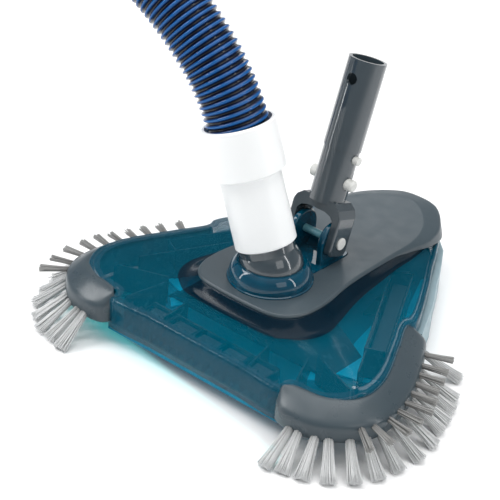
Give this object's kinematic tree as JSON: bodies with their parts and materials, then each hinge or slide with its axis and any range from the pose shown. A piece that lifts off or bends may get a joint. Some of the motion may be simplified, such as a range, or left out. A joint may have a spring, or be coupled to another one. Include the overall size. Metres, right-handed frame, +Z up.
{
  "type": "manual pool vacuum head",
  "caption": "Weighted three-cornered pool vacuum head with corner brushes, a tilting pole handle, a swivelling hose port and a short leader hose.",
  "frame": {"origin": "floor point under the middle of the head's plan, hose and far cuff left out", "axes": "+Z up, -Y towards the wide front edge, +X across the head"},
  "size_m": [1.057, 0.386, 0.3254],
  "materials": {
    "hull_clear": "transparent teal-blue moulded plastic",
    "port_clear": "transparent deep blue moulded plastic",
    "gray_plastic": "satin slate gray moulded plastic",
    "holder_plastic": "satin dark gray moulded plastic",
    "base_plastic": "teal moulded plastic",
    "white_plastic": "smooth white plastic",
    "hose_blue": "ribbed blue and black hose",
    "bristle": "light gray nylon filament",
    "skirt": "pale flexible strip",
    "ballast_iron": "coated cast iron",
    "screw_steel": "stainless screws",
    "seal_rubber": "black seal rubber",
    "pin_clear": "teal-gray pin"
  },
  "bodies": {
    "root": {"body_shell": "hull_clear", "base_plate": "base_plastic", "base_screws": "screw_steel", "suction_duct": "base_plastic", "ballast_front": "ballast_iron", "ballast_left": "ballast_iron", "ballast_right": "ballast_iron", "top_cover": "gray_plastic", "port_collar": "port_clear", "port_seal": "seal_rubber", "ball_seat": "base_plastic", "hinge_bracket": "port_clear", "brush_holder_left": "holder_plastic", "brush_holder_right": "holder_plastic", "floor_bristles_left": "bristle", "floor_bristles_right": "bristle", "side_bristles_left": "bristle", "side_bristles_right": "bristle", "side_skirt_left": "skirt", "side_skirt_right": "skirt", "hose_tube": "hose_blue", "hose_far_cuff": "white_plastic"},
    "handle": {"handle_tube": "gray_plastic", "hinge_pin": "pin_clear", "pin_caps": "white_plastic", "clip_bridge": "white_plastic"},
    "snap_right": {"snap_leg_right": "white_plastic"},
    "snap_left": {"snap_leg_left": "white_plastic"},
    "hose_swivel": {"swivel_connector": "gray_plastic", "hose_cuff": "white_plastic"}
  },
  "joints": [
    {"name": "handle_pivot", "type": "hinge", "parent": "root", "child": "handle", "pos_m": [0, 0.0179, 0.0739], "axis": [-1, 0, 0], "range_deg": [-32, 62]},
    {"name": "hose_swivel_turn", "type": "hinge", "parent": "root", "child": "hose_swivel", "pos_m": [0, -0.0344, 0.068], "axis": [-0.3366, -0.0408, 0.9408], "continuous": true},
    {"name": "snap_right_press", "type": "slide", "parent": "handle", "child": "snap_right", "axis": [-1, 0, 0], "range_m": [0, 0.005], "stiffness_N_per_m": 900},
    {"name": "snap_left_press", "type": "slide", "parent": "handle", "child": "snap_left", "axis": [1, 0, 0], "range_m": [0, 0.005], "stiffness_N_per_m": 900}
  ]
}
